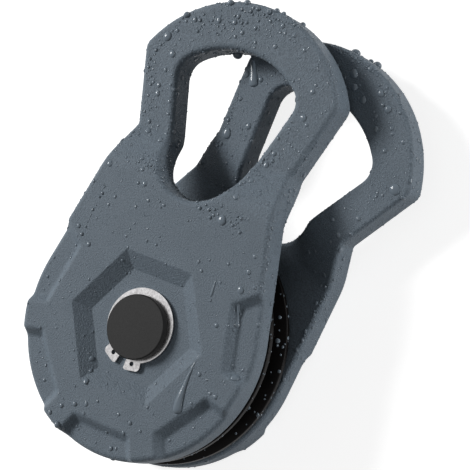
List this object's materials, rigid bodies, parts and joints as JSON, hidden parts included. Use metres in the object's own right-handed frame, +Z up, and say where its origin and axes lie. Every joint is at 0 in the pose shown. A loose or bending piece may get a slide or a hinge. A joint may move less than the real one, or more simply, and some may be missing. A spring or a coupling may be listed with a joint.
{
  "type": "snatch block",
  "caption": "Snatch block with swinging forged cheeks, shackle eyes and a grooved sheave on one pin, for running a winch rope.",
  "frame": {"origin": "on the pin's axis, in the plane of the rear cheek's outer face, on which the block lies", "axes": "+Z up the pin towards the front cheek, +Y towards the rear cheek's eye, +X to the right as seen from above"},
  "size_m": [0.1482, 0.2109, 0.0518],
  "materials": {
    "cheek_coating": "fine-textured grey powder coat on forged steel",
    "sheave_black": "glossy black coat on steel",
    "pin_black": "black finished steel, satin end face",
    "ring_steel": "bright zinc-plated spring steel",
    "bronze": "machined bronze"
  },
  "bodies": {
    "base": {"rear_cheek": "cheek_coating", "pin": "pin_black", "retaining_ring": "ring_steel", "rear_thrust_washer": "bronze", "front_thrust_washer": "bronze"},
    "front_cheek": {"front_cheek": "cheek_coating"},
    "sheave": {"sheave": "sheave_black", "sheave_bushing": "bronze"}
  },
  "joints": [
    {"name": "cheek_swing", "type": "hinge", "parent": "base", "child": "front_cheek", "pos_m": [0, 0, 0.044], "axis": [0, 0, 1], "continuous": true},
    {"name": "sheave_spin", "type": "hinge", "parent": "base", "child": "sheave", "pos_m": [0, 0, 0.0255], "axis": [0, 0, 1], "continuous": true}
  ]
}
